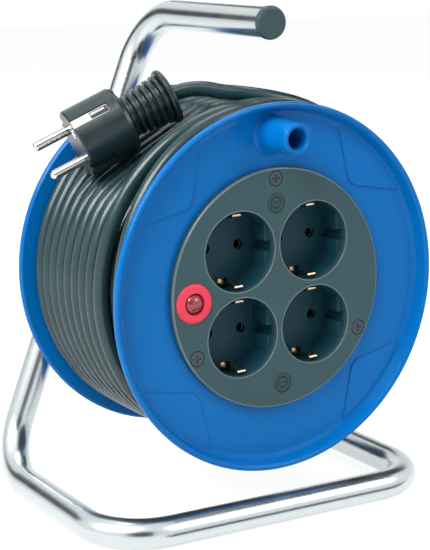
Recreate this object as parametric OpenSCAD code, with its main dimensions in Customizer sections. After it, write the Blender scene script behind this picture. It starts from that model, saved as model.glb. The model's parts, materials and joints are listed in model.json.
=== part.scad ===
// Extension cord reel on a bent tube stand, with four earthed sockets in the drum.
// The part stands on the floor with +Z up, and its sockets face -Y.
// Depths named _y are measured backwards from the front rim of the drum.

/* [Stand] */
// Outside diameter of the stand's steel tube
tube_d = 15; // [12:0.5:20]
// Wall of the steel tube
tube_wall = 1.5; // [1:0.1:2.5]
// Height of the drum's axle above the floor
axle_height = 118.5; // [116:0.5:160]
// Sideways place of the drum's axle
axle_x = 1.2; // [-5:0.1:5]
// Distance between the centre lines of the two feet
foot_span = 184.5; // [170:0.5:240]
// Height of the handle's centre line above the axle
handle_rise = 127.9; // [126:0.1:160]
// Sideways place of the handle
handle_x = 0.8; // [-5:0.1:5]
// Depth at which the handle's free end stops
handle_end_y = 9.6; // [0:0.1:40]
// Depth of the front bar
front_bar_y = -0.2; // [-20:0.1:5]
// Depth of the bend between the handle and the upright
top_bend_y = 132; // [131:0.5:170]
// Depth of the bends at the back of the feet
foot_bend_y = 127; // [126:0.5:160]
// Depth of the bend between the right leg and the axle
leg_bend_y = 130; // [129.5:0.5:165]
// Bend radius between the handle and the upright
top_bend_r = 28; // [20:1:45]
// Bend radius of the feet
foot_bend_r = 30; // [20:1:45]
// Bend radius between the leg and the axle
axle_bend_r = 27; // [20:1:29]
// Thickness of the handle's end cap
cap_t = 3; // [2:0.5:6]
// How far the end cap stands out round the tube
cap_lip = 0.6; // [0:0.1:2]
// Depth that the end plugs reach into the tube
plug_in = 14; // [8:1:25]

/* [Drum] */
// Turn of the drum about its axle
drum_angle = 2.3; // [-15:0.1:15]
// Radius of the flanges
flange_r = 91.2; // [88:0.1:93]
// Width of the drum over both flanges
drum_w = 107.6; // [104:0.1:110]
// Thickness of the flanges' rim
rim_t = 3.4; // [2.5:0.1:5]
// Depth of the front flange's floor behind its rim
floor_y = 6.9; // [5.5:0.1:9]
// Wall of the flanges and the barrel
wall = 2.5; // [2:0.1:3.5]
// Outer radius of the barrel
barrel_r = 58.3; // [57:0.1:60]
// Depth of the seam between the drum's two halves
seam_y = 58; // [54:0.5:62]
// Depth of the overlap at the seam
seam_lap = 5; // [3:0.5:8]
// Radius of the hollow round the hub at the back
hub_cup_r = 24; // [20:0.5:32]
// Depth of that hollow
hub_cup_depth = 12.1; // [10:0.1:14]
// Wall of the hub
hub_wall = 3.5; // [2.5:0.1:5]
// Distance of the drum screws inside the barrel's outer face
drum_screw_inset = 6.5; // [6.3:0.1:7.3]
// Distance of the raised corner panels outside the socket plate
panel_inset = 4.8; // [3.3:0.1:8]
// Angle between the two edges of a corner panel
panel_angle = 113; // [100:1:125]
// Height of the corner panels
panel_h = 0.7; // [0.4:0.1:1.2]
// Radius of the winding knob at its tip
knob_r = 7.8; // [7:0.1:8.5]
// Bore radius of the winding knob
knob_bore_r = 5; // [4:0.1:5.5]
// Shift of the winding knob from midway between the socket plate and the flange's edge
knob_shift = 0.05; // [-1.5:0.05:1.5]
// Length of the winding knob in front of the flange's floor
knob_length = 24; // [20:0.5:30]

/* [Axle fittings] */
// Length of each bearing bush in the hub
bush_l = 12; // [8:1:16]
// Wall of the bearing bushes
bush_wall = 2.5; // [1.5:0.1:4]
// Thickness of the bushes' collars
bush_collar_t = 1.5; // [1:0.1:2.5]
// Running clearance round the axle
running = 0.05; // [0.02:0.01:0.1]
// Clearance between pieces that face each other
gap = 0.3; // [0.2:0.05:0.4]
// Clearance round pieces pushed into each other
push = 0.05; // [0.02:0.01:0.1]
// Width of the stop ring on the axle
stop_w = 3.6; // [3:0.1:4]
// Thickness of the washer on the axle's end
washer_t = 1.6; // [1:0.1:2]

/* [Socket plate] */
// How far the socket plate laps over the barrel
plate_lap = 1.4; // [0.7:0.1:3]
// Depth of the plate's face behind the rim
plate_y = 3.2; // [2.5:0.1:4]
// Thickness of the plate
plate_t = 2.5; // [2:0.1:3]
// Distance between the centres of neighbouring sockets
socket_pitch = 42.4; // [42:0.1:44]
// Radius of a socket's recess
socket_r = 19.75; // [19.5:0.05:20]
// Depth of a socket's recess
socket_depth = 17.5; // [17:0.1:18.5]
// Wall of a socket's recess
socket_wall = 1.6; // [1.2:0.1:1.9]
// Distance of the guide keys from the middle of a socket
key_x = 16.3; // [16:0.05:17]
// Width of the notch in the guide keys
key_notch = 5.4; // [4:0.1:7]
// Depth of the guide keys below the plate's face
key_setback = 4; // [3:0.1:6]
// Distance between a socket's pin holes
pin_pitch = 19; // [19:0.01:19.1]
// Radius of a pin hole
pin_hole_r = 2.6; // [2.5:0.05:3]
// Distance of the plate screws inside the barrel's outer face
plate_screw_inset = 3.8; // [3.3:0.1:4.3]
// Width of an earth clip
clip_w = 4.6; // [3.5:0.1:6]
// Thickness of the contact metal
strip_t = 0.8; // [0.5:0.1:1]
// Height of the links between the contacts from the middle
link_place = 14; // [12:0.5:16]

/* [Cut-out] */
// Distance of the cut-out inside the barrel's outer face
cutout_inset = 10.3; // [9.8:0.1:11]
// Outer radius of the red ring
ring_r = 9.7; // [9:0.1:10]
// How far the red ring stands out of the plate
ring_t = 1.1; // [0.6:0.1:2]
// Radius of the reset button
button_r = 5; // [4:0.1:5.5]
// How far the button stands out of the ring
button_out = 1.6; // [1:0.1:3]
// Travel of the reset button
button_travel = 2; // [1.5:0.1:2.5]

/* [Cable and plug] */
// Diameter of the cable
cable_d = 7.5; // [7:0.1:7.5]
// Distance between neighbouring turns
turn_pitch = 8; // [7.95:0.01:8.05]
// Radius of the outer layer's centre line
layer_r = 81.4; // [80.8:0.1:81.6]
// Angle that the outer layer winds through
layer_sweep = 3520; // [3160:360:3520]
// How much higher the last two turns lie where they pass the top
last_rise = 6.4; // [4:0.1:6.6]
// Depth of the dip in the turns under the plug
plug_dip = 7.2; // [7:0.1:7.5]
// Radius of the plug's body
plug_r = 17.5; // [17:0.1:18.5]
// Distance of the plug's side flats from its middle
plug_flat = 15.7; // [15:0.1:16]
// Length of the plug's body
plug_body_l = 27.5; // [25:0.5:32]
// Length of the plug's ribbed grip
plug_grip_l = 25; // [20:0.5:30]
// Radius of the disc at the end of the grip
bell_r = 14.2; // [13:0.1:14.6]
// Ribs on the grip between the body and the disc
grip_ribs = 6; // [4:1:8]
// Radius of the plug's pins
pin_r = 2.4; // [2.35:0.01:2.45]
// Length of the plug's pins
pin_l = 19; // [18:0.1:20]

/* [Hidden] */
$fn = 64;

// Stand
tube_r = tube_d / 2;
bore_r = tube_r - tube_wall;
knob_tip_y = floor_y - knob_length;
rear_reach_y = max(top_bend_y - 0.02 * top_bend_r, leg_bend_y) + tube_r;
front_reach_y = min(knob_tip_y, front_bar_y - tube_r);
rim_y = -(front_reach_y + rear_reach_y) / 2;
foot_x = foot_span / 2;

// Drum
floor_back_y = floor_y + wall;
rear_face_y = drum_w - rim_t;
barrel_bore_r = barrel_r - wall;
drum_screw_circle = barrel_r - drum_screw_inset;
plate_r = barrel_r + plate_lap;
plate_screw_circle = barrel_r - plate_screw_inset;
cutout_place = barrel_r - cutout_inset;
panel_r = plate_r + panel_inset;
knob_place = (plate_r + flange_r) / 2 + knob_shift;
hub_y = drum_w - hub_cup_depth;
bush_r = tube_r + running + bush_wall;
hub_bore_r = bush_r + push;
hub_r = hub_bore_r + hub_wall;
bush_collar_r = hub_r;
axle_tip_y = 48;
hub_front_y = axle_tip_y + gap + bush_collar_t;
bush_back_y = hub_y + bush_collar_t;
pillar_r = 4.5;
screw_r = 1.9;
screw_head_r = 3.5;
screw_head_t = 2.4;

// Sockets
plate_back_y = plate_y + plate_t;
well_floor_y = plate_y + socket_depth;
well_back_y = well_floor_y + plate_t;
sleeve_back_y = well_back_y + 11;
cover_y = well_back_y + gap;
cover_back_y = cover_y + 17;
cover_r = 49.5;
cover_screw_z = 38;
socket_places = [for (sx = [-1, 1], sz = [-1, 1]) [sx * socket_pitch / 2, sz * socket_pitch / 2]];
plate_screw_angles = [90, -30, 210];
ring_bore_r = button_r + gap;
ring_neck_r = ring_bore_r + 1.5;

// Cable
layer_start = 100;
layer_y = rear_face_y - gap - cable_d / 2;
core_r = layer_r - cable_d / 2 - gap;
dip_y = 61;
dip_r = 60;
steps = 24;
sides = 6;

// Plug: the middle of its face from the axle, and how its pins point
plug_at = [-76.5, 67.4, 68.7];
plug_yaw = 166.86;
plug_pitch = -25.32;
plug_roll = -45.79;

// The free end of the cable, over the drum to the plug: angle, distance from the axle and depth
tail_polar = [[31, 89.8, 27.6], [38, 90.1, 28.7], [50, 90.6, 30.2], [62, 90.9, 31.2], [71, 90.9, 31.9],
    [79, 90.9, 33.2], [85, 91.4, 35.6], [90, 92.2, 39.3], [94.5, 93.2, 44], [98.74, 95.41, 49],
    [103.3, 96.49, 53.2], [108.38, 96.1, 56.55], [111.87, 95.46, 57.85]];
tail_route = [for (p = tail_polar) [p[1] * cos(p[0]), p[2], p[1] * sin(p[0])]];

// The supply lead inside the drum, from the barrel's wall to the back of the sockets
lead_y = 66;
lead_way = [cos(200), 0, sin(200)];
lead_route = [(barrel_r - 0.1) * lead_way + [0, lead_y, 0],
    (barrel_r - 8.3) * lead_way + [0, lead_y, 0], [-40, 65, -14.6],
    [-34, 60, -12.4], [-31, 52, -11.3], [-30, 45, -11], [-30, 40.5, -11], [-30, 35.3, -11]];
grommet_r = cable_d / 2 + 1.6;

// ---- Helpers ----

function unit(v) = v / norm(v);

// Places children whose +Z runs along w and whose +X runs along u, at point a
module along(a, u, w) {
    v = cross(w, u);
    multmatrix([[u[0], v[0], w[0], a[0]], [u[1], v[1], w[1], a[1]], [u[2], v[2], w[2], a[2]], [0, 0, 0, 1]])
        children();
}

// Any direction square to w
function side_of(w) = abs(w[1]) < 0.9 ? unit(cross([0, 1, 0], w)) : unit(cross([1, 0, 0], w));

// Straight cut at a corner of a bent tube
function bend_cut(a, b, c, r) = r * tan(acos(unit(b - a) * unit(c - b)) / 2);

// Tube of radius r through points, each corner bent to its own radius; bending swells it by 0.05
module bent_tube(points, radii, r) {
    last = len(points) - 1;
    cuts = [for (i = [0 : last]) i == 0 || i == last ? 0
        : bend_cut(points[i - 1], points[i], points[i + 1], radii[i])];
    for (i = [0 : last - 1]) {
        d = unit(points[i + 1] - points[i]);
        lap = [i == 0 ? 0 : 1, i == last - 1 ? 0 : 1];
        straight = norm(points[i + 1] - points[i]) - cuts[i] - cuts[i + 1] + lap[0] + lap[1];
        along(points[i] + d * (cuts[i] - lap[0]), side_of(d), d)
            cylinder(h = straight, r = r, $fn = 28);
    }
    for (i = [1 : last - 1]) {
        d = unit(points[i] - points[i - 1]);
        e = unit(points[i + 1] - points[i]);
        n = unit(cross(d, e));
        inward = cross(n, d);
        along(points[i] - d * cuts[i] + inward * radii[i], -inward, n)
            rotate_extrude(angle = acos(d * e), $fn = 48)
                translate([radii[i], 0])
                    circle(r = r + 0.05, $fn = 28);
    }
}

// Moves from the drum's own frame to the part's frame
module at_drum() {
    translate([axle_x, rim_y, axle_height])
        children();
}

// The same, turned with the drum
module on_drum() {
    at_drum()
        rotate([0, -drum_angle, 0])
            children();
}

// Turned solid about the axle, from points of radius and depth
module turned(points) {
    rotate([90, 0, 0])
        rotate_extrude()
            polygon([for (p = points) [p[0], -p[1]]]);
}

// Rod along the depth, from depth y for length h, at x and z
module rod(x, z, y, h, r) {
    translate([x, y, z])
        rotate([-90, 0, 0])
            cylinder(h = h, r = r);
}

// Flat shape seen from the front, from depth y for thickness h
module slab(y, h) {
    translate([0, y + h, 0])
        rotate([90, 0, 0])
            linear_extrude(h)
                children();
}

// Block from one corner to another
module block(low, high) {
    translate(low)
        cube(high - low);
}

// Screw along the depth with its head at depth y and its shank running backwards
module screw(x, z, y, shank, r, head_r, head_t) {
    translate([x, y, z])
        rotate([-90, 0, 0])
            difference() {
                union() {
                    cylinder(h = shank, r = r);
                    translate([0, 0, -head_t])
                        cylinder(h = head_t, r = head_r);
                }
                for (turn = [0, 90])
                    rotate([0, 0, turn])
                        translate([-head_r * 0.6, -0.4, -head_t - 0.1])
                            cube([head_r * 1.2, 0.8, head_t * 0.5 + 0.1]);
            }
}

// Closed tube swept through ring centres, with each ring square to the path; up never runs along it
module swept(path, r, count, up) {
    last = len(path) - 1;
    ways = [for (i = [0 : last]) unit(path[min(i + 1, last)] - path[max(i - 1, 0)])];
    rings = [for (i = [0 : last], k = [0 : count - 1])
        let (u = unit(cross(ways[i], up)), v = cross(ways[i], u), a = 360 * k / count)
        path[i] + r * (cos(a) * u + sin(a) * v)];
    skin = [for (i = [0 : last - 1], k = [0 : count - 1], half = [0, 1])
        let (a = i * count + k, b = i * count + (k + 1) % count)
        half == 0 ? [a, b, b + count] : [a, b + count, a + count]];
    front = [for (k = [1 : count - 2]) [0, k + 1, k]];
    back = [for (k = [1 : count - 2]) [last * count, last * count + k, last * count + k + 1]];
    polyhedron(points = rings, faces = concat(skin, front, back));
}

// ---- Stand ----

stand_points = [
    [handle_x, rim_y + handle_end_y + cap_t, axle_height + handle_rise],
    [handle_x, rim_y + top_bend_y, axle_height + handle_rise],
    [-foot_x, rim_y + foot_bend_y, tube_r],
    [-foot_x, rim_y + front_bar_y, tube_r],
    [foot_x, rim_y + front_bar_y, tube_r],
    [foot_x, rim_y + foot_bend_y, tube_r],
    [axle_x, rim_y + leg_bend_y, axle_height],
    [axle_x, rim_y + axle_tip_y, axle_height]];
stand_bends = [0, top_bend_r, foot_bend_r, foot_bend_r, foot_bend_r, foot_bend_r, axle_bend_r, 0];

module frame_tube() {
    color("silver")
        difference() {
            bent_tube(stand_points, stand_bends, tube_r);
            bent_tube(stand_points, stand_bends, bore_r);
        }
}

module handle_end_cap() {
    cap_r = tube_r + cap_lip;
    color("dimgray")
        translate([handle_x, rim_y + handle_end_y, axle_height + handle_rise])
            turned([[0, 0], [cap_r - 1.5, 0], [cap_r - 0.4, 0.4], [cap_r, 1.5], [cap_r, cap_t],
                [bore_r - push, cap_t], [bore_r - push, cap_t + plug_in], [0, cap_t + plug_in]]);
}

// ---- Axle fittings ----

stop_y = bush_back_y + gap;

module stop_ring() {
    color("silver")
        at_drum()
            difference() {
                turned([[tube_r + push, stop_y], [hub_r - 0.5, stop_y], [hub_r, stop_y + 0.5],
                    [hub_r, stop_y + stop_w], [tube_r + push, stop_y + stop_w]]);
                translate([0, stop_y + stop_w / 2, 0])
                    cylinder(h = hub_r + 1, r = 1.2 + push);
            }
}

module stop_ring_screw() {
    color("dimgray")
        at_drum()
            translate([0, stop_y + stop_w / 2, tube_r + push])
                cylinder(h = hub_r - tube_r - 0.8, r = 1.2);
}

module rear_bush() {
    color("ivory")
        at_drum()
            turned([[tube_r + running, hub_y - bush_l], [bush_r, hub_y - bush_l], [bush_r, hub_y],
                [bush_collar_r, hub_y], [bush_collar_r, bush_back_y], [tube_r + running, bush_back_y]]);
}

module front_bush() {
    color("ivory")
        at_drum()
            turned([[tube_r + running, axle_tip_y + gap], [bush_collar_r, axle_tip_y + gap],
                [bush_collar_r, hub_front_y], [bush_r, hub_front_y], [bush_r, hub_front_y + bush_l],
                [tube_r + running, hub_front_y + bush_l]]);
}

module axle_end_plug() {
    color("dimgray")
        at_drum()
            turned([[screw_r + 0.6 + push, axle_tip_y], [bore_r - push, axle_tip_y],
                [bore_r - push, axle_tip_y + plug_in + 8], [screw_r + 0.6 + push, axle_tip_y + plug_in + 8]]);
}

module axle_washer() {
    color("silver")
        at_drum()
            turned([[screw_r + 0.6 + push, axle_tip_y - washer_t], [hub_r - 1, axle_tip_y - washer_t],
                [hub_r - 1, axle_tip_y], [screw_r + 0.6 + push, axle_tip_y]]);
}

module axle_screw() {
    color("silver")
        at_drum()
            screw(0, 0, axle_tip_y - washer_t, washer_t + plug_in, screw_r + 0.6, 5, 2);
}

// ---- Drum halves ----

// Seat in a raised corner panel's outline, with its inner corner rounded
module panel_outline() {
    half = panel_angle / 2;
    reach = 60;
    round_r = 7;
    centre = round_r / sin(half);
    difference() {
        translate([panel_r, 0])
            union() {
                difference() {
                    polygon([[0, 0], [reach * cos(half), reach * sin(half)], [reach, 0],
                        [reach * cos(half), -reach * sin(half)]]);
                    polygon([[-1, 0], [round_r / tan(half) * cos(half), round_r / tan(half) * sin(half)],
                        [centre, 0], [round_r / tan(half) * cos(half), -round_r / tan(half) * sin(half)]]);
                }
                translate([centre, 0])
                    circle(r = round_r);
            }
        difference() {
            circle(r = 200);
            circle(r = flange_r - 5.5);
        }
    }
}

// Pillars that take the long drum screws
module pillars(y, h) {
    for (turn = [0, 120, 240])
        rotate([0, turn, 0])
            difference() {
                rod(drum_screw_circle, 0, y, h, pillar_r);
                rod(drum_screw_circle, 0, y - 1, h + 2, screw_r + push);
            }
}

module front_flange() {
    boss_r = 3.1;
    color("royalblue")
        on_drum()
            difference() {
                union() {
                    turned([[barrel_bore_r, floor_y], [flange_r - 7, floor_y], [flange_r - 4.6, floor_y - 1],
                        [flange_r - 2.9, 1], [flange_r - 1.9, 0.2], [flange_r - 1.2, 0],
                        [flange_r - 0.4, 0.4],
                        [flange_r, 1.2], [flange_r, rim_t - 0.6], [flange_r - 0.6, rim_t],
                        [flange_r - 1.4, rim_t], [flange_r - 3, floor_back_y - 1.5],
                        [flange_r - 5.4, floor_back_y], [barrel_r, floor_back_y], [barrel_r, seam_y],
                        [barrel_r - wall / 2, seam_y], [barrel_r - wall / 2, seam_y - seam_lap],
                        [barrel_bore_r, seam_y - seam_lap]]);
                    for (turn = [45, 135, 225, 315])
                        slab(floor_y - panel_h, panel_h + 0.5)
                            rotate(turn)
                                panel_outline();
                    translate([0, 0, knob_place])
                        turned([[knob_bore_r, knob_tip_y + 1], [knob_bore_r + 1, knob_tip_y],
                            [knob_r - 1, knob_tip_y], [knob_r, knob_tip_y + 1], [knob_r + 0.5, floor_y - 3],
                            [knob_r + 1.1, floor_y - 1.2], [knob_r + 2.2, floor_y - 0.2],
                            [knob_r + 2.2, floor_y + 0.5], [knob_bore_r, floor_y + 0.5]]);
                    for (a = plate_screw_angles)
                        rod(plate_screw_circle * cos(a), plate_screw_circle * sin(a), plate_back_y, 24,
                            boss_r);
                    pillars(seam_y - seam_lap - 12, 12);
                }
                rod(0, knob_place, knob_tip_y - 1, knob_length + wall + 2, knob_bore_r);
                for (a = plate_screw_angles)
                    rod(plate_screw_circle * cos(a), plate_screw_circle * sin(a), plate_back_y - 1, 20,
                        screw_r + push);
            }
}

module rear_flange() {
    rib_t = 2.5;
    color("royalblue")
        on_drum()
            difference() {
                union() {
                    turned([[hub_bore_r, hub_front_y], [hub_r, hub_front_y], [hub_r, hub_y - wall],
                        [hub_cup_r, hub_y - wall], [hub_cup_r + wall, hub_y],
                        [hub_cup_r + wall, rear_face_y], [barrel_bore_r, rear_face_y],
                        [barrel_bore_r, seam_y - seam_lap + gap],
                        [barrel_r - wall / 2 - push, seam_y - seam_lap + gap],
                        [barrel_r - wall / 2 - push, seam_y + gap], [barrel_r, seam_y + gap],
                        [barrel_r, rear_face_y], [flange_r - 1, rear_face_y], [flange_r, rear_face_y + 1],
                        [flange_r, drum_w - 1], [flange_r - 1, drum_w], [hub_cup_r, drum_w],
                        [hub_cup_r, hub_y], [hub_bore_r, hub_y]]);
                    pillars(seam_y - seam_lap + 0.8, rear_face_y - seam_y + seam_lap - 0.4);
                    for (turn = [60 : 60 : 360])
                        rotate([0, turn, 0]) {
                            block([hub_r - 0.5, hub_y - 18, -rib_t / 2],
                                [hub_cup_r + 2, hub_y - wall + 0.5, rib_t / 2]);
                            block([hub_cup_r + 1, hub_y - 18, -rib_t / 2],
                                [barrel_bore_r + 0.5, rear_face_y + 0.5, rib_t / 2]);
                        }
                }
                for (turn = [0, 120, 240])
                    rotate([0, turn, 0])
                        rod(drum_screw_circle, 0, drum_w - screw_head_t - 1, screw_head_t + 2,
                            screw_head_r + 0.3);
                for (turn = [0, 120, 240])
                    rotate([0, turn, 0])
                        rod(drum_screw_circle, 0, seam_y, drum_w - seam_y, screw_r + push);
                at_inlet()
                    translate([0, 0, barrel_bore_r - 5])
                        cylinder(h = wall + 10, r = grommet_r + push);
            }
}

module drum_screws() {
    head_y = drum_w - screw_head_t - 1;
    color("silver")
        on_drum()
            for (turn = [0, 120, 240])
                rotate([0, turn, 0])
                    translate([drum_screw_circle, head_y, 0])
                        rotate([0, 0, 180])
                            screw(0, 0, 0, head_y - seam_y + seam_lap + 10, screw_r, screw_head_r,
                                screw_head_t);
}

// ---- Socket plate and what it carries ----

module socket_plate() {
    floor_t = plate_t;
    mark_r = 5;
    color("darkslategray")
        on_drum()
            difference() {
                union() {
                    turned([[0, plate_y], [plate_r - 1, plate_y], [plate_r - 0.2, plate_y + 0.5],
                        [plate_r, plate_y + 1.2], [plate_r, floor_y], [plate_r - 2, floor_y],
                        [plate_r - 2, plate_back_y], [0, plate_back_y]]);
                    for (p = socket_places)
                        rod(p[0], p[1], plate_y + 0.5, socket_depth + floor_t - 0.5, socket_r + socket_wall);
                    for (z = [-cover_screw_z, cover_screw_z])
                        rod(0, z, plate_back_y - 0.5, cover_back_y - 2 - plate_back_y + 0.5, 4);
                }
                for (p = socket_places)
                    translate([p[0], 0, p[1]])
                        socket_hollow(floor_t);
                for (a = plate_screw_angles)
                    translate([plate_screw_circle * cos(a), plate_y, plate_screw_circle * sin(a)]) {
                        rod(0, 0, -0.1, 1.3, screw_head_r + 0.4);
                        rod(0, 0, 0, plate_t + 1, screw_r + push);
                    }
                rod(-cutout_place, 0, plate_y - 1, plate_t + 2, ring_neck_r + push);
                for (z = [-cover_screw_z, cover_screw_z])
                    rod(0, z, cover_back_y - 14, 14, 1.5 + push);
                for (p = [[0, 42.5], [1, -48]])
                    rod(p[0], p[1], plate_y - 1, 1.3, mark_r);
            }
}

// What is cut away for one socket
module socket_hollow(floor_t) {
    difference() {
        rod(0, 0, plate_y - 1, socket_depth + 1, socket_r);
        for (side = [-1, 1])
            for (half = [-1, 1])
                translate([side * (key_x + 5), well_floor_y, half * (key_notch / 2 + 10)])
                    cube([10, 2 * (socket_depth - key_setback), 20], center = true);
    }
    for (side = [-1, 1]) {
        rod(side * pin_pitch / 2, 0, well_floor_y - 1, floor_t + 2, pin_hole_r);
        block([-clip_w / 2 - 0.4, well_floor_y - 0.5, side * 17.7 - 1.7],
            [clip_w / 2 + 0.4, well_back_y + 1, side * 17.7 + 1.7]);
    }
}

module plate_screws() {
    color("silver")
        on_drum()
            for (a = plate_screw_angles)
                screw(plate_screw_circle * cos(a), plate_screw_circle * sin(a), plate_y + 1.2, 18, screw_r,
                    screw_head_r, 1.1);
}

// Sleeve that grips one plug pin
module sleeve(x, z) {
    y = well_back_y + gap;
    difference() {
        rod(x, z, y, sleeve_back_y - y + strip_t, pin_r + 1);
        rod(x, z, y - 1, sleeve_back_y - y + 1, pin_r + push);
        block([x - 0.4, y - 1, z - 5], [x + 0.4, sleeve_back_y - 3, z + 5]);
    }
}

// Contact strip with a sleeve for each socket, one side of every socket
module pole_contacts(side, link_z) {
    columns = [for (sx = [-1, 1]) sx * socket_pitch / 2 + side * pin_pitch / 2];
    half = socket_pitch / 2;
    y = sleeve_back_y;
    on_drum()
        union() {
            for (x = columns)
                difference() {
                    union() {
                        for (z = [-half, half])
                            sleeve(x, z);
                        block([x - 3, y, -half - 3], [x + 3, y + strip_t, half + 3]);
                        block([x - 2, y, link_z - 2], [x + 2, y + 3, link_z + 2]);
                    }
                    for (z = [-half, half])
                        rod(x, z, y - 1, 3, pin_r + push);
                }
            block([columns[0] - 2, y + 3 - strip_t, link_z - 2], [columns[1] + 2, y + 3, link_z + 2]);
        }
}

module live_contacts() {
    color("goldenrod")
        pole_contacts(-1, link_place);
}

module neutral_contacts() {
    color("goldenrod")
        pole_contacts(1, -link_place);
}

// One earth clip, from the bar behind the socket to its curled front end
module earth_clip(x, z, side) {
    y0 = well_back_y + gap;
    root = 18.2;
    curl_y = plate_y + 3.4;
    profile = [[root + 0.6, y0], [root + 0.6, y0 - 6], [root - 1.2, y0 - 10], [root - 1.8, y0 - 13],
        [root - 0.6, curl_y], [root - 0.6 - strip_t, curl_y], [root - 1.8 - strip_t, y0 - 13],
        [root - 1.2 - strip_t, y0 - 10], [root + 0.6 - strip_t, y0 - 6.2], [root + 0.6 - strip_t, y0]];
    translate([x + clip_w / 2, 0, z])
        mirror([0, 0, side < 0 ? 1 : 0])
            rotate([0, -90, 0])
                linear_extrude(clip_w)
                    union() {
                        polygon([for (p = profile) [p[0], p[1]]]);
                        translate([root - 0.6, curl_y])
                            circle(r = 0.9, $fn = 24);
                    }
}

module earth_contacts() {
    y = well_back_y + gap;
    half = socket_pitch / 2;
    color("goldenrod")
        on_drum()
            union() {
                for (x = [-half, half]) {
                    block([x - clip_w / 2, y, -half - 18.8], [x + clip_w / 2, y + strip_t, half + 18.8]);
                    for (z = [-half, half])
                        for (side = [-1, 1])
                            earth_clip(x, z, side);
                }
                block([-half, y, 7], [half, y + strip_t, 11]);
            }
}

module socket_back_cover() {
    color("black")
        on_drum()
            difference() {
                turned([[cover_r - 2, cover_y], [cover_r, cover_y], [cover_r, cover_back_y - 1],
                    [cover_r - 1, cover_back_y], [0, cover_back_y], [0, cover_back_y - 2],
                    [cover_r - 2, cover_back_y - 2]]);
                for (z = [-cover_screw_z, cover_screw_z])
                    rod(0, z, cover_back_y - 3, 4, 1.5 + push);
                rod(lead_route[6][0], lead_route[6][2], cover_back_y - 3, 4, cable_d / 2 + gap);
            }
}

module cover_screws() {
    color("silver")
        on_drum()
            for (z = [-cover_screw_z, cover_screw_z])
                translate([0, cover_back_y, z])
                    rotate([0, 0, 180])
                        screw(0, 0, 0, 12, 1.5, 3, 1.8);
}

// ---- Cut-out ----

module cutout_body() {
    pocket_r = button_r + 1.2 + gap;
    color("black")
        on_drum()
            difference() {
                block([-cutout_place - 6, plate_back_y + 0.9, -8.5],
                    [-cutout_place + 8.5, well_back_y - gap, 8.5]);
                rod(-cutout_place, 0, plate_back_y, 11, min(pocket_r, 5.9));
            }
}

module cutout_ring() {
    color("red")
        on_drum()
            translate([-cutout_place, plate_y, 0])
                turned([[ring_bore_r, -ring_t], [ring_r - 1.4, -ring_t], [ring_r - 0.4, -ring_t + 0.4],
                    [ring_r, 0], [ring_neck_r, 0], [ring_neck_r, plate_t + 0.6],
                    [ring_bore_r, plate_t + 0.6]]);
}

module reset_button() {
    front_y = -ring_t - button_out;
    dome_r = 5.6;
    skirt = dome_r - sqrt(dome_r * dome_r - button_r * button_r);
    color("darkred")
        on_drum()
            translate([-cutout_place, plate_y, 0])
                union() {
                    rod(0, 0, front_y + skirt, plate_t + 4 - front_y - skirt, button_r);
                    intersection() {
                        translate([0, front_y + dome_r, 0])
                            sphere(r = dome_r);
                        rod(0, 0, front_y - 1, skirt + 1.01, button_r);
                    }
                }
}

module reset_spring() {
    y = plate_back_y + 4;
    color("silver")
        on_drum()
            translate([-cutout_place, 0, 0])
                turned([[2.4, y], [3.2, y], [3.2, plate_back_y + 11], [2.4, plate_back_y + 11]]);
}

// ---- Supply lead ----

// Places children on the lead's way through the barrel's wall, with +Z outwards and 0 on the axle
module at_inlet() {
    along([0, lead_y, 0], [0, 1, 0], lead_way)
        children();
}

module inlet_grommet() {
    color("black")
        on_drum()
            at_inlet()
                difference() {
                    union() {
                        translate([0, 0, barrel_bore_r - 2])
                            cylinder(h = 1.2, r = grommet_r + 1.5);
                        translate([0, 0, barrel_bore_r - 1])
                            cylinder(h = wall + 0.7, r = grommet_r);
                    }
                    translate([0, 0, barrel_bore_r - 5])
                        cylinder(h = 20, r = cable_d / 2 + push);
                }
}

module supply_lead() {
    color("black")
        on_drum()
            swept(lead_route, cable_d / 2, 10, [0, 0, 1]);
}

module lead_clamp() {
    color("black")
        on_drum()
            translate([lead_route[6][0], cover_back_y, lead_route[6][2]])
                difference() {
                    block([-9, 0, -7], [9, 4, 7]);
                    rod(0, 0, -1, 6, cable_d / 2 + gap);
                    for (x = [-6.5, 6.5])
                        rod(x, 0, -1, 6, 1.1 + push);
                }
}

module clamp_screws() {
    color("silver")
        on_drum()
            for (x = [-6.5, 6.5])
                translate([lead_route[6][0] + x, cover_back_y + 4, lead_route[6][2]])
                    rotate([0, 0, 180])
                        screw(0, 0, 0, 3.8, 1.1, 1.9, 1.4);
}

// ---- Cable ----

module cable_core() {
    color([0.1, 0.1, 0.1])
        difference() {
            at_drum()
                turned([[barrel_r + gap, floor_back_y + gap], [core_r, floor_back_y + gap],
                    [core_r, rear_face_y - gap], [barrel_r + gap, rear_face_y - gap]]);
            for (cut = [[104, 4.5], [121, plug_dip + 1.1], [134, 4.9]])
                at_drum()
                    rotate([0, -cut[0], 0])
                        translate([core_r - cut[1] + dip_r, dip_y, -80])
                            cylinder(h = 160, r = dip_r);
        }
}

// Share of a slow step between two angles
function eased(a, low, high) = let (t = min(max((a - low) / (high - low), 0), 1)) t * t * (3 - 2 * t);

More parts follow.
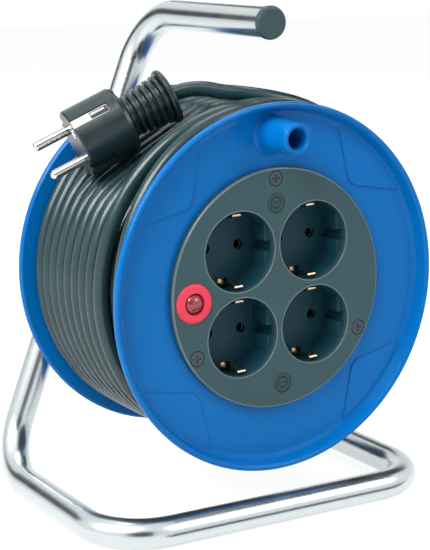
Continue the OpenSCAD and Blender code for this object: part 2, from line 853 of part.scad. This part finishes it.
// Centre of the outer layer at an angle counted from its start. The last turn but one comes forward over
// the top and goes back, the last one lies against the front flange, and its end crosses over both.
front_y = floor_back_y + gap + cable_d / 2 + 0.25;
function layer_depth(a) =
    let (s = layer_sweep,
        even = layer_y - turn_pitch * a / 360,
        near = eased(a, s - 890, s - 655) * (1 - eased(a, s - 645, s - 555)),
        y = a < s - 545 ? even + (front_y + turn_pitch + 0.1 - even) * near
            : even + (front_y - even) * eased(a, s - 548, s - 325))
    y + 17.3 * eased(a, s - 140, s + 80);
function layer_point(a) =
    let (s = layer_sweep,
        turn = layer_start + a,
        around = turn % 360,
        y = layer_depth(a),
        sink = 8.2 * (1 - eased(a, 0, 40)),
        crown = 2 * (eased(around, 30, 75) - eased(around, 88, 108)) * eased(a, 40, 200),
        rise = last_rise * (eased(a, s - 715, s - 665) - eased(a, s - 630, s - 560)
            + eased(a, s - 355, s - 305) - eased(a, s - 270, s - 200)),
        dip = plug_dip * (eased(around, 85, 117) - eased(around, 126, 154))
            * (1 - eased(abs(y - dip_y), 10, 30)),
        r = layer_r - sink + max(crown, rise) - dip + 8 * eased(a, s - 130, s - 60))
    [r * cos(turn), y, r * sin(turn)];

layer_last = ceil(layer_sweep * steps / 360);
layer_end = layer_point(layer_sweep);
layer_way = unit(layer_end - layer_point(layer_sweep - 1));
layer_path = concat([for (i = [0 : layer_last]) layer_point(i * layer_sweep / layer_last)],
    [layer_end + cable_d * layer_way]);
layer_gap = min([for (i = [0 : layer_last - steps + 3], n = [1, 2], k = [-3 : 3])
    i + n * steps + k > layer_last ? 100 : norm(layer_path[i] - layer_path[i + n * steps + k])]) - cable_d;
echo(least_gap_between_turns = layer_gap);

module cable_winding() {
    color([0.12, 0.12, 0.12])
        at_drum()
            swept(layer_path, cable_d / 2, sides, [0, 1, 0]);
}

module cable_tail() {
    color([0.12, 0.12, 0.12])
        at_drum()
            swept(concat([for (k = [1, 1.3]) layer_end + k * cable_d * layer_way], tail_route),
                cable_d / 2, 10, [0, 1, 0]);
}

// ---- Plug, in its own frame: pins along +X, face at 0, pins apart along Y ----

module at_plug() {
    at_drum()
        translate(plug_at)
            rotate([0, -plug_pitch, plug_yaw])
                rotate([plug_roll, 0, 0])
                    children();
}

// Turned solid about the plug's axis, from points of radius and distance behind the face
module plug_turned(points) {
    rotate([0, -90, 0])
        rotate_extrude()
            polygon(points);
}

module plug_body() {
    groove_w = 5.2;
    color([0.13, 0.13, 0.14])
        at_plug()
            difference() {
                plug_turned([[0, 0], [plug_r - 0.8, 0], [plug_r, 0.8], [plug_r, plug_body_l - 2.5],
                    [plug_r - 1, plug_body_l - 0.7], [plug_r - 3, plug_body_l], [0, plug_body_l]]);
                for (side = [-1, 1]) {
                    block([-plug_body_l + 3, side > 0 ? plug_flat : -30, -30],
                        [1, side > 0 ? 30 : -plug_flat, 30]);
                    block([-14, side > 0 ? plug_flat - 2.2 : -30, -2.5],
                        [1, side > 0 ? 30 : -plug_flat + 2.2, 2.5]);
                    block([-20, -groove_w / 2, side > 0 ? plug_r - 1.6 : -30],
                        [1, groove_w / 2, side > 0 ? 30 : -plug_r + 1.6]);
                    translate([1, side * pin_pitch / 2, 0])
                        rotate([0, -90, 0])
                            cylinder(h = 12.3, r = pin_r - 0.5 + push);
                }
                translate([1, 0, 10])
                    rotate([0, -90, 0])
                        cylinder(h = 15, r = 2.5);
            }
}

module plug_grip() {
    ribbed_l = plug_grip_l - 3;
    neck_r = 10.4;
    pitch = ribbed_l / grip_ribs;
    ribs = [for (i = [0 : grip_ribs - 1])
        let (x = plug_body_l + i * pitch, r = neck_r + (bell_r - 1.4 - neck_r) * (i + 0.5) / grip_ribs)
        for (p = [[r - 2, x + pitch * 0.12], [r, x + pitch * 0.3], [r, x + pitch * 0.7],
            [r - 2, x + pitch * 0.88]]) p];
    end = plug_body_l + plug_grip_l;
    color([0.13, 0.13, 0.14])
        at_plug()
            plug_turned(concat([[0, plug_body_l], [neck_r - 1, plug_body_l]], ribs,
                [[bell_r - 0.6, end - 2.8], [bell_r, end - 2.2], [bell_r, end - 0.6], [bell_r - 0.6, end],
                [cable_d / 2 + 3.5, end], [cable_d / 2 + 0.3, plug_body_l + 18.5], [0, plug_body_l + 18.5]]));
}

module plug_pins() {
    color("silver")
        at_plug()
            for (side = [-1, 1])
                translate([0, side * pin_pitch / 2, 0])
                    rotate([0, 90, 0]) {
                        translate([0, 0, -11])
                            cylinder(h = 12, r = pin_r - 0.5);
                        translate([0, 0, push])
                            cylinder(h = pin_l - pin_r - push, r = pin_r);
                        translate([0, 0, pin_l - pin_r])
                            sphere(r = pin_r);
                    }
}

module plug_earth_strips() {
    color("silver")
        at_plug()
            for (side = [-1, 1])
                mirror([0, 0, side < 0 ? 1 : 0])
                    block([-19.8, -2.3, plug_r - 1.6 + push], [-0.3, 2.3, plug_r - 0.7]);
}

frame_tube();
handle_end_cap();
stop_ring();
stop_ring_screw();
rear_bush();
front_bush();
axle_end_plug();
axle_washer();
axle_screw();
front_flange();
rear_flange();
drum_screws();
socket_plate();
plate_screws();
live_contacts();
neutral_contacts();
earth_contacts();
socket_back_cover();
cover_screws();
cutout_body();
cutout_ring();
reset_button();
reset_spring();
inlet_grommet();
supply_lead();
lead_clamp();
clamp_screws();
cable_core();
cable_winding();
cable_tail();
plug_body();
plug_grip();
plug_pins();
plug_earth_strips();
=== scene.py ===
import json
import math

import bpy
from mathutils import Matrix, Vector


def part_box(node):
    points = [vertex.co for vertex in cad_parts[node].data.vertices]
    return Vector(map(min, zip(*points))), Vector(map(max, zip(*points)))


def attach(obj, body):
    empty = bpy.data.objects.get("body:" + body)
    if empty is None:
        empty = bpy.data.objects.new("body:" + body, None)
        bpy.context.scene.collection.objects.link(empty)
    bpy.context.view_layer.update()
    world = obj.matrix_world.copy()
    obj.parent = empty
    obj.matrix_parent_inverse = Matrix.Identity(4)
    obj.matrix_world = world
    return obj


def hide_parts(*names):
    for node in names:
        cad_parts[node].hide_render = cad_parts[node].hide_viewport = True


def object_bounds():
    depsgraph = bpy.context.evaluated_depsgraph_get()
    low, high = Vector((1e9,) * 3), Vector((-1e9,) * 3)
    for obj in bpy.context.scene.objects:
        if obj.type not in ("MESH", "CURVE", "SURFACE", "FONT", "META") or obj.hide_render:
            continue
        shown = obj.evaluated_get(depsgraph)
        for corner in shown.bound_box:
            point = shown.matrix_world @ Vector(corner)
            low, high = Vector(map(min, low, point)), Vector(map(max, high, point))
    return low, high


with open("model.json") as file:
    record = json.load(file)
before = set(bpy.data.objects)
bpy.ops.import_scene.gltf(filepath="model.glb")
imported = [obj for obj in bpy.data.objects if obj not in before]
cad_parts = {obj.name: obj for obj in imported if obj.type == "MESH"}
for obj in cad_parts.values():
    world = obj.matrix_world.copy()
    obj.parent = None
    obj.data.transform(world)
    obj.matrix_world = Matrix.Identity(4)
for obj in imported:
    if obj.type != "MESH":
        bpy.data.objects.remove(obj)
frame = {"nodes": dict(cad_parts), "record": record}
cad_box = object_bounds()
nodes = frame["nodes"]
record = frame["record"]

# The axle, the depth of the drum's front rim and of the plate's face behind it, in millimetres
axle = [1000 * v for v in record["behaviour"]["joints"][0]["pos_m"]]
plate_y = 3.2
rim_y = 1000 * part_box("socket_plate")[0][1] - plate_y
turn = math.radians(2.3)


def drum_point(x, y, z):
    """A point given from the axle and the rim, in metres in the part's frame."""
    return Vector(((axle[0] + x) / 1000, (rim_y + y) / 1000, (axle[2] + z) / 1000))


def turned_point(x, y, z):
    """The same, for a feature that is turned with the drum."""
    c, s = math.cos(turn), math.sin(turn)
    return drum_point(x * c - z * s, y, x * s + z * c)


# ---- Camera ----

azimuth, elevation, distance = math.radians(31.24), math.radians(11.96), 0.75684
target = drum_point(-38.28, 0, 11.66)
back = Vector((-math.sin(azimuth) * math.cos(elevation), -math.cos(azimuth) * math.cos(elevation),
               math.sin(elevation)))
cam_data = bpy.data.cameras.new("camera")
cam_data.sensor_fit = "VERTICAL"
cam_data.sensor_height = 24
cam_data.lens = 69.97
cam_data.clip_start = 0.01
cam = bpy.data.objects.new("camera", cam_data)
bpy.context.scene.collection.objects.link(cam)
right = Vector((math.cos(azimuth), -math.sin(azimuth), 0))
up = back.cross(right)
cam.matrix_world = Matrix((
    (right.x, up.x, back.x, target.x + back.x * distance),
    (right.y, up.y, back.y, target.y + back.y * distance),
    (right.z, up.z, back.z, target.z + back.z * distance),
    (0, 0, 0, 1)))
bpy.context.scene.camera = cam

# ---- Materials ----


def material(name, color, rough, metal=0.0, coat=0.0, grain=0.0, grain_size=900.0, mottling=0.0,
             mottling_size=40.0, rough_spread=0.0, specular=0.5, edge=0.0, painted_shade_by_depth=None):
    """A procedural material: grain is a fine bump, mottling a slow change of colour, edge a rounded look of
    sharp edges. The last argument, which needs mottling, paints shade by depth: it holds the depth where the
    colour starts to darken, the depth where it has darkened, and the darker colour there."""
    mat = bpy.data.materials.new(name)
    mat.use_nodes = True
    tree = mat.node_tree
    shader = tree.nodes["Principled BSDF"]
    shader.inputs["Base Color"].default_value = (*color, 1)
    shader.inputs["Roughness"].default_value = rough
    shader.inputs["Metallic"].default_value = metal
    shader.inputs["Coat Weight"].default_value = coat
    shader.inputs["Coat Roughness"].default_value = 0.06
    shader.inputs["Specular IOR Level"].default_value = specular
    mat.diffuse_color = (*color, 1)
    coords = tree.nodes.new("ShaderNodeTexCoord")
    place = coords.outputs["Object"]
    if mottling:
        noise = tree.nodes.new("ShaderNodeTexNoise")
        noise.inputs["Scale"].default_value = mottling_size
        noise.inputs["Detail"].default_value = 4
        ramp = tree.nodes.new("ShaderNodeMix")
        ramp.data_type = "RGBA"
        ramp.inputs["A"].default_value = (*[max(0, c * (1 - mottling)) for c in color], 1)
        ramp.inputs["B"].default_value = (*[min(1, c * (1 + mottling)) for c in color], 1)
        tree.links.new(place, noise.inputs["Vector"])
        tree.links.new(noise.outputs["Fac"], ramp.inputs["Factor"])
        tree.links.new(ramp.outputs["Result"], shader.inputs["Base Color"])
    # Painted shade: the colour darkens with depth along the object's Y, from the first depth to the second.
    if painted_shade_by_depth:
        axes = tree.nodes.new("ShaderNodeSeparateXYZ")
        depth = tree.nodes.new("ShaderNodeMapRange")
        depth.inputs["From Min"].default_value = painted_shade_by_depth[0]
        depth.inputs["From Max"].default_value = painted_shade_by_depth[1]
        shade = tree.nodes.new("ShaderNodeMix")
        shade.data_type = "RGBA"
        shade.inputs["B"].default_value = (*painted_shade_by_depth[2], 1)
        tree.links.new(place, axes.inputs[0])
        tree.links.new(axes.outputs["Y"], depth.inputs["Value"])
        tree.links.new(depth.outputs["Result"], shade.inputs["Factor"])
        tree.links.new(ramp.outputs["Result"], shade.inputs["A"])
        tree.links.new(shade.outputs["Result"], shader.inputs["Base Color"])
    if rough_spread:
        noise = tree.nodes.new("ShaderNodeTexNoise")
        noise.inputs["Scale"].default_value = mottling_size * 2.5
        noise.inputs["Detail"].default_value = 5
        span = tree.nodes.new("ShaderNodeMapRange")
        span.inputs["From Min"].default_value = 0.3
        span.inputs["From Max"].default_value = 0.7
        span.inputs["To Min"].default_value = max(0.02, rough - rough_spread)
        span.inputs["To Max"].default_value = rough + rough_spread
        tree.links.new(place, noise.inputs["Vector"])
        tree.links.new(noise.outputs["Fac"], span.inputs["Value"])
        tree.links.new(span.outputs["Result"], shader.inputs["Roughness"])
    normal = None
    if edge:
        bevel = tree.nodes.new("ShaderNodeBevel")
        bevel.samples = 4
        bevel.inputs["Radius"].default_value = edge
        normal = bevel.outputs["Normal"]
        tree.links.new(normal, shader.inputs["Normal"])
    if grain:
        noise = tree.nodes.new("ShaderNodeTexNoise")
        noise.inputs["Scale"].default_value = grain_size
        noise.inputs["Detail"].default_value = 3
        bump = tree.nodes.new("ShaderNodeBump")
        bump.inputs["Strength"].default_value = grain
        bump.inputs["Distance"].default_value = 0.0002
        tree.links.new(place, noise.inputs["Vector"])
        tree.links.new(noise.outputs["Fac"], bump.inputs["Height"])
        if normal:
            tree.links.new(normal, bump.inputs["Normal"])
        tree.links.new(bump.outputs["Normal"], shader.inputs["Normal"])
    return mat


plate_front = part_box("socket_plate")[0][1]

blue = material("blue_plastic", (0.0, 0.13, 0.415), 0.24, specular=0.14, grain=0.03, mottling=0.05,
                rough_spread=0.04, edge=0.0006)
# Inside the socket recesses the plate's colour darkens with depth: painted shade for the recesses.
dark = material("dark_plastic", (0.036, 0.079, 0.089), 0.4, specular=0.2, grain=0.12, grain_size=1500,
                mottling=0.08, rough_spread=0.05, edge=0.0004,
                painted_shade_by_depth=(plate_front + 0.001, plate_front + 0.005, (0.008, 0.05, 0.074)))
cable = material("black_cable", (0.012, 0.038, 0.044), 0.26, grain=0.06, grain_size=700, mottling=0.2,
                 rough_spread=0.04)
black = material("black_plastic", (0.007, 0.02, 0.024), 0.3, grain=0.12, grain_size=1400, mottling=0.1,
                 rough_spread=0.06, specular=0.55, edge=0.0004)
chrome = material("steel_tube", (0.62, 0.67, 0.68), 0.25, metal=1, grain=0.008, grain_size=300, mottling=0.03,
                  rough_spread=0.02)
grey = material("grey_plastic", (0.03, 0.06, 0.066), 0.4, specular=0.3, grain=0.1, grain_size=1200,
                mottling=0.06, rough_spread=0.05, edge=0.0004)
steel = material("steel", (0.5, 0.5, 0.52), 0.3, metal=1, grain=0.05, mottling=0.05, rough_spread=0.08,
                 edge=0.0001)
screw = material("dark_screw", (0.06, 0.075, 0.085), 0.38, metal=0.7, grain=0.08, mottling=0.2,
                 rough_spread=0.08, edge=0.0002)
brass = material("brass", (0.62, 0.5, 0.36), 0.24, metal=1, mottling=0.2, rough_spread=0.08, edge=0.0001)
nickel = material("nickel", (0.7, 0.68, 0.64), 0.2, metal=1, mottling=0.06, rough_spread=0.06, edge=0.0001)
natural = material("natural_plastic", (0.7, 0.68, 0.6), 0.45, grain=0.05, mottling=0.04, rough_spread=0.05)
red = material("red_plastic", (0.72, 0.045, 0.085), 0.34, specular=0.25, grain=0.04, mottling=0.05,
               rough_spread=0.05, edge=0.0003)
# A lighter colour than the plate for the raised rims: a painted highlight on the rims, whose form and gloss
# catch real light as well.
rim_highlight_plastic = material("plastic_edge_painted_highlight", (0.1, 0.15, 0.16), 0.3, specular=0.6, grain=0.05, mottling=0.1,
               rough_spread=0.05)
mark = material("plastic_mark", (0.022, 0.055, 0.062), 0.5, specular=0.3, grain=0.3, grain_size=2200,
                mottling=0.25, mottling_size=600, rough_spread=0.05)
dark_red = material("dark_red_plastic", (0.25, 0.02, 0.035), 0.14, coat=0.6, mottling=0.1, rough_spread=0.04)

paint = {
    "steel_tube": chrome, "grey_plastic": grey, "steel": steel, "natural_plastic": natural,
    "blue_plastic": blue, "dark_plastic": dark, "brass": brass, "black_plastic": black,
    "red_plastic": red, "dark_red_plastic": dark_red, "black_cable": cable, "nickel": nickel}
for part in record["subparts"]:
    obj = nodes[part["node"]]
    for holder in obj.material_slots:
        holder.material = screw if part["node"] == "plate_screws" else paint[part["material_slot"]]

# ---- Mesh helpers ----


def piece(name, points, faces, mat, smooth=True):
    """A mesh piece from points in metres."""
    mesh = bpy.data.meshes.new(name)
    mesh.from_pydata([tuple(p) for p in points], [], faces)
    mesh.validate()
    mesh.materials.append(mat)
    for poly in mesh.polygons:
        poly.use_smooth = smooth
    obj = bpy.data.objects.new(name, mesh)
    bpy.context.scene.collection.objects.link(obj)
    return obj


def tube(name, path, radius, sides, over, mat):
    """A closed round tube along path, with over never along it."""
    points, faces = [], []
    last = len(path) - 1
    for i, centre in enumerate(path):
        way = (path[min(i + 1, last)] - path[max(i - 1, 0)]).normalized()
        u = way.cross(over).normalized()
        v = way.cross(u)
        for k in range(sides):
            a = 2 * math.pi * k / sides
            points.append(centre + radius * (math.cos(a) * u + math.sin(a) * v))
    for i in range(last):
        for k in range(sides):
            a, b = i * sides + k, i * sides + (k + 1) % sides
            faces.append((a, b, b + sides, a + sides))
    faces.append(tuple(reversed(range(sides))))
    faces.append(tuple(range(last * sides, (last + 1) * sides)))
    return piece(name, points, faces, mat)


def smooth_path(points, per):
    """A curve through the points."""
    out = []
    for i in range(len(points) - 1):
        a = points[max(i - 1, 0)]
        b, c = points[i], points[i + 1]
        d = points[min(i + 2, len(points) - 1)]
        for k in range(per):
            t = k / per
            out.append(0.5 * ((2 * b) + (c - a) * t + (2 * a - 5 * b + 4 * c - d) * t * t
                              + (3 * b - a - 3 * c + d) * t ** 3))
    out.append(points[-1])
    return out


# ---- Cable on the drum and its free end ----

cable_r = 3.75
layer_r, layer_y, pitch, sweep, front_y = 81.4, 100.15, 8.0, 3520, 13.7
dip_y, plug_dip, last_rise = 61, 7.2, 6.4


def eased(a, low, high):
    t = min(max((a - low) / (high - low), 0), 1)
    return t * t * (3 - 2 * t)


def dip(around, y):
    """How far the turns are pressed in under the plug."""
    return (plug_dip * (eased(around, 85, 117) - eased(around, 126, 154))
            * (1 - eased(abs(y - dip_y), 10, 30)))


def layer_point(a):
    s = sweep
    around = (100 + a) % 360
    even = layer_y - pitch * a / 360
    near = eased(a, s - 890, s - 655) * (1 - eased(a, s - 645, s - 555))
    if a < s - 545:
        y = even + (front_y + pitch + 0.1 - even) * near
    else:
        y = even + (front_y - even) * eased(a, s - 548, s - 325)
    y += 17.3 * eased(a, s - 140, s + 80)
    sink = 8.2 * (1 - eased(a, 0, 40))
    crown = 2 * (eased(around, 30, 75) - eased(around, 88, 108)) * eased(a, 40, 200)
    rise = last_rise * (eased(a, s - 715, s - 665) - eased(a, s - 630, s - 560)
                        + eased(a, s - 355, s - 305) - eased(a, s - 270, s - 200))
    r = layer_r - sink + max(crown, rise) - dip(around, y) + 8 * eased(a, s - 130, s - 60)
    turned = math.radians(100 + a)
    return drum_point(r * math.cos(turned), y, r * math.sin(turned))


end = layer_point(sweep)
end_way = (end - layer_point(sweep - 1)).normalized()
winding_path = [layer_point(sweep * i / 940) for i in range(941)] + [end + 0.0075 * end_way]
winding = tube("outer_layer_of_cable", winding_path, cable_r / 1000, 20, Vector((0, 1, 0)), cable)
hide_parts("cable_winding")
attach(winding, "drum")

# The free end over the drum to the plug: angle, distance from the axle and depth
tail_polar = [(31, 89.8, 27.6), (38, 90.1, 28.7), (50, 90.6, 30.2), (62, 90.9, 31.2), (71, 90.9, 31.9),
              (79, 90.9, 33.2), (85, 91.4, 35.6), (90, 92.2, 39.3), (94.5, 93.2, 44), (98.74, 95.41, 49),
              (103.3, 96.49, 53.2), (108.38, 96.1, 56.55), (111.87, 95.46, 57.85)]
tail_points = [end + 0.0075 * k * end_way for k in (1, 1.3)]
for a, r, y in tail_polar:
    tail_points.append(drum_point(r * math.cos(math.radians(a)), y, r * math.sin(math.radians(a))))
tail_path = smooth_path(tail_points, 6)
tail = tube("free_end_of_cable", tail_path, cable_r / 1000, 20, Vector((0, 1, 0)), cable)
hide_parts("cable_tail")
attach(tail, "drum")

# Inner layers, with their turns showing between the outer ones
profile = []
low, high, core_r = 9.9, 103.7, layer_r - cable_r - 0.3
ridges = 12
for i in range(ridges * 12 + 1):
    y = low + (high - low) * i / (ridges * 12)
    across = ((i / 12) % 1) * 2 - 1 if i < ridges * 12 else -1
    profile.append((core_r - 3.6 * (1 - math.sqrt(max(0, 1 - (across * 0.98) ** 2))), y))
rings, faces = [], []
around = 180
for k in range(around):
    a = 2 * math.pi * k / around
    for r, y in profile:
        low_r = r - dip(math.degrees(a), y)
        rings.append(drum_point(low_r * math.cos(a), y, low_r * math.sin(a)))
n = len(profile)
for k in range(around):
    for i in range(n - 1):
        a, b = k * n + i, ((k + 1) % around) * n + i
        faces.append((a, a + 1, b + 1, b))
core = piece("inner_layers_of_cable", rings, faces, cable)
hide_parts("cable_core")
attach(core, "drum")

# ---- Small forms on the socket plate and the plug ----


def ring(name, place, profile, around, mat, ripple=0.0):
    """A closed ring from points of radius and depth in millimetres. Place gives the point for an angle, a
    radius and a depth. Ripple raises two of every four steps around by as much."""
    points, faces = [], []
    n = len(profile)
    for k in range(around):
        a = 2 * math.pi * k / around
        raised = ripple if k % 4 < 2 else 0
        for r, depth in profile:
            points.append(place(a, r, depth - raised))
    for k in range(around):
        first, following = k * n, ((k + 1) % around) * n
        for i in range(n):
            j = (i + 1) % n
            faces.append((first + i, first + j, following + j, following + i))
    return piece(name, points, faces, mat)


def on_face(centre):
    """Places a ring about an axis along Y through centre."""
    return lambda a, r, depth: centre + Vector((r * math.cos(a), depth, r * math.sin(a))) / 1000


def on_drum(obj):
    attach(obj, "drum")


well_r = 19.75
lip_profile = [(well_r - 0.1, 0.5), (well_r - 0.08, 0.02), (well_r + 0.08, -0.12), (well_r + 0.3, -0.12),
               (well_r + 0.5, 0.05), (well_r + 0.5, 0.4), (well_r + 0.1, 0.6)]
# Raised rims round the socket recesses, in the lighter colour of the painted highlight.
for mount in record["mounts"]:
    if mount["name"].startswith("socket_"):
        x, _, z = mount["pos_m"]
        on_drum(ring("lip_of_" + mount["name"], on_face(Vector((x, plate_front, z))), lip_profile, 96, rim_highlight_plastic))

# A raised rim round the plate's edge, in the lighter colour of the painted highlight.
plate_r = 500 * (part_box("socket_plate")[1][0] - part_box("socket_plate")[0][0])
edge_profile = [(plate_r - 0.95, 0.2), (plate_r - 0.9, -0.06), (plate_r - 0.7, -0.06), (plate_r - 0.16, 0.46),
                (plate_r + 0.02, 1.0), (plate_r - 0.1, 1.3), (plate_r - 0.9, 0.6)]
on_drum(ring("edge_of_socket_plate", on_face(turned_point(0, plate_y, 0)), edge_profile, 160, rim_highlight_plastic))

# The two round marks: a rippled ring around a plain one, each from its inner to its outer radius
for i, (x, z) in enumerate(((0, 42.5), (1, -48))):
    for name, inner, outer, ripple in (("outer", 2.9, 4.75, 0.12), ("inner", 0.4, 2.5, 0)):
        on_drum(ring(f"mark_{i}_{name}", on_face(turned_point(x, plate_y, z)),
                     [(inner, 0.4), (inner, 0.1), (outer, 0.1), (outer, 0.4)], 96, mark, ripple))

# The plug's own frame: pins along +X, face at 0, pins apart along Y, in metres
plug_yaw, plug_pitch, plug_roll = math.radians(166.86), math.radians(-25.32), math.radians(-45.79)
plug_frame = (Matrix.Translation(drum_point(-76.5, 67.4, 68.7)) @ Matrix.Rotation(plug_yaw, 4, "Z")
              @ Matrix.Rotation(-plug_pitch, 4, "Y") @ Matrix.Rotation(plug_roll, 4, "X"))


def plug_block(name, low, high, chamfer, mat):
    """A block with chamfered long edges on its outer side, which is away from the plug's axis."""
    (x0, y0, z0), (x1, y1, z1) = low, high
    out = 1 if abs(z1) > abs(z0) else -1
    section = [(y0, z0), (y1, z0), (y1, z1 - out * chamfer), (y1 - chamfer, z1), (y0 + chamfer, z1),
               (y0, z1 - out * chamfer)]
    n = len(section)
    points = [plug_frame @ (Vector((x, y, z)) / 1000) for x in (x0, x1) for y, z in section]
    faces = [(i, (i + 1) % n, n + (i + 1) % n, n + i) for i in range(n)]
    faces += [tuple(range(n)), tuple(range(2 * n - 1, n - 1, -1))]
    on_drum(piece(name, points, faces, mat, smooth=False))


strip_z = 16.8
for side, way in (("upper", 1), ("lower", -1)):
    plug_block(f"slot_in_{side}_strip", (-19.6, -1.9, way * (strip_z - 0.3)),
               (-10.2, 1.9, way * (strip_z + 0.15)), 0.1, black)
    plug_block(f"spring_in_{side}_strip", (-18, -1.3, way * strip_z),
               (-10.6, 0.1, way * (strip_z + 0.4)), 0.15, nickel)

hole_z = 10


def on_plug(a, r, x):
    """Places the ring around the hole for the earth pin in the plug's face."""
    return plug_frame @ (Vector((x, r * math.cos(a), hole_z + r * math.sin(a))) / 1000)


on_drum(ring("earth_hole_contact", on_plug,
             [(2.1, -5), (2.1, 0.1), (2.4, 0.25), (3.1, 0.25), (3.3, 0.05), (2.45, -0.1), (2.45, -5)], 48,
             nickel))

# ---- Floor, lights and background ----


def seen_by_eye_or_mirror(tree):
    """1 for rays from the camera, from metal and through glass, and 0 for light that falls on matt faces."""
    path = tree.nodes.new("ShaderNodeLightPath")
    total = path.outputs["Is Camera Ray"]
    for name in ("Is Glossy Ray", "Is Transmission Ray"):
        add = tree.nodes.new("ShaderNodeMath")
        add.operation = "MAXIMUM"
        tree.links.new(total, add.inputs[0])
        tree.links.new(path.outputs[name], add.inputs[1])
        total = add.outputs[0]
    return total


def floor_material():
    """A matt floor with a glow for the eye and for mirrors, so that it looks white. The shadow is faint."""
    mat = bpy.data.materials.new("floor")
    mat.use_nodes = True
    tree = mat.node_tree
    tree.nodes.remove(tree.nodes["Principled BSDF"])
    matt = tree.nodes.new("ShaderNodeBsdfDiffuse")
    matt.inputs["Color"].default_value = (0.8, 0.8, 0.8, 1)
    pale = tree.nodes.new("ShaderNodeBsdfDiffuse")
    pale.inputs["Color"].default_value = (0.3, 0.3, 0.3, 1)
    white = tree.nodes.new("ShaderNodeEmission")
    white.inputs["Color"].default_value = (1, 1, 1, 1)
    white.inputs["Strength"].default_value = 0.86
    both = tree.nodes.new("ShaderNodeAddShader")
    mix = tree.nodes.new("ShaderNodeMixShader")
    tree.links.new(pale.outputs[0], both.inputs[0])
    tree.links.new(white.outputs[0], both.inputs[1])
    tree.links.new(seen_by_eye_or_mirror(tree), mix.inputs[0])
    tree.links.new(matt.outputs[0], mix.inputs[1])
    tree.links.new(both.outputs[0], mix.inputs[2])
    tree.links.new(mix.outputs[0], tree.nodes["Material Output"].inputs["Surface"])
    return mat


floor = piece("floor", [Vector((x, y, 0)) for x, y in ((-4, -4), (4, -4), (4, 4), (-4, 4))], [(0, 1, 2, 3)],
              floor_material(), smooth=False)
floor.location.z = cad_box[0][2] - 0.0001


def towards(azimuth, elevation, distance):
    """A place seen from the object, with azimuth 0 in front and 90 at its right."""
    a, e = math.radians(azimuth), math.radians(elevation)
    return Vector((math.sin(a) * math.cos(e), -math.cos(a) * math.cos(e), math.sin(e))) * distance


def facing(place, aim):
    return (place - aim).to_track_quat("Z", "Y").to_euler()


middle = Vector((0, 0, 0.12))


def lamp(name, azimuth, elevation, distance, size, power):
    data = bpy.data.lights.new(name, "AREA")
    data.shape = "RECTANGLE"
    data.size, data.size_y = size
    data.energy = power
    obj = bpy.data.objects.new(name, data)
    obj.location = middle + towards(azimuth, elevation, distance)
    obj.rotation_euler = facing(obj.location, middle)
    bpy.context.scene.collection.objects.link(obj)


lamp("key", -60, 45, 1.4, (0.55, 0.7), 16)
lamp("strip", -88, 36, 1.5, (0.3, 0.6), 12)
lamp("front", 38, 32, 1.5, (0.9, 0.6), 6.5)
lamp("top", 150, 70, 1.4, (0.8, 0.8), 6)

# Black studio flags, which only shiny surfaces see
flag_mat = bpy.data.materials.new("flag")
flag_mat.use_nodes = True
flag_mat.node_tree.nodes["Principled BSDF"].inputs["Base Color"].default_value = (0.006, 0.014, 0.017, 1)
flag_mat.node_tree.nodes["Principled BSDF"].inputs["Roughness"].default_value = 1
flag_mat.node_tree.nodes["Principled BSDF"].inputs["Specular IOR Level"].default_value = 0


def flag(name, place, aim, size):
    w, h = size[0] / 2, size[1] / 2
    obj = piece(name, [Vector(p) for p in ((-w, -h, 0), (w, -h, 0), (w, h, 0), (-w, h, 0))], [(0, 1, 2, 3)],
                flag_mat, smooth=False)
    obj.location = place
    obj.rotation_euler = facing(Vector(place), Vector(aim))
    obj.visible_camera = False
    obj.visible_diffuse = False
    obj.visible_shadow = False
    obj.visible_transmission = False


flag("flag_front", middle + towards(-30, 14, 1.7), middle, (1.1, 1.1))
flag("flag_left", middle + towards(-154, 16, 1.7), middle, (1, 0.6))
flag("flag_right", middle + towards(130, 43, 1.7), middle, (1.8, 1.2))
flag("flag_high", middle + towards(80, 52, 1.7), middle, (0.9, 0.6))
# This flag lies on the floor just in front of the bar. It is a dark sheet standing in for the floor's shade
# there, so the tube shows painted shade in its reflection.
flag("flag_for_floor_shade", (0.09, -0.12, cad_box[0][2] + 0.0003), (0.09, -0.12, 1), (0.3, 0.07))

world = bpy.data.worlds.new("world")
bpy.context.scene.world = world
world.use_nodes = True
tree = world.node_tree
light = tree.nodes["Background"]
light.inputs["Color"].default_value = (0.95, 0.98, 1, 1)
light.inputs["Strength"].default_value = 0.38
white = tree.nodes.new("ShaderNodeBackground")
white.inputs["Color"].default_value = (1, 1, 1, 1)
white.inputs["Strength"].default_value = 1
mix = tree.nodes.new("ShaderNodeMixShader")
tree.links.new(seen_by_eye_or_mirror(tree), mix.inputs[0])
tree.links.new(light.outputs[0], mix.inputs[1])
tree.links.new(white.outputs[0], mix.inputs[2])
tree.links.new(mix.outputs[0], tree.nodes["World Output"].inputs["Surface"])

bpy.context.scene.view_settings.view_transform = "Standard"
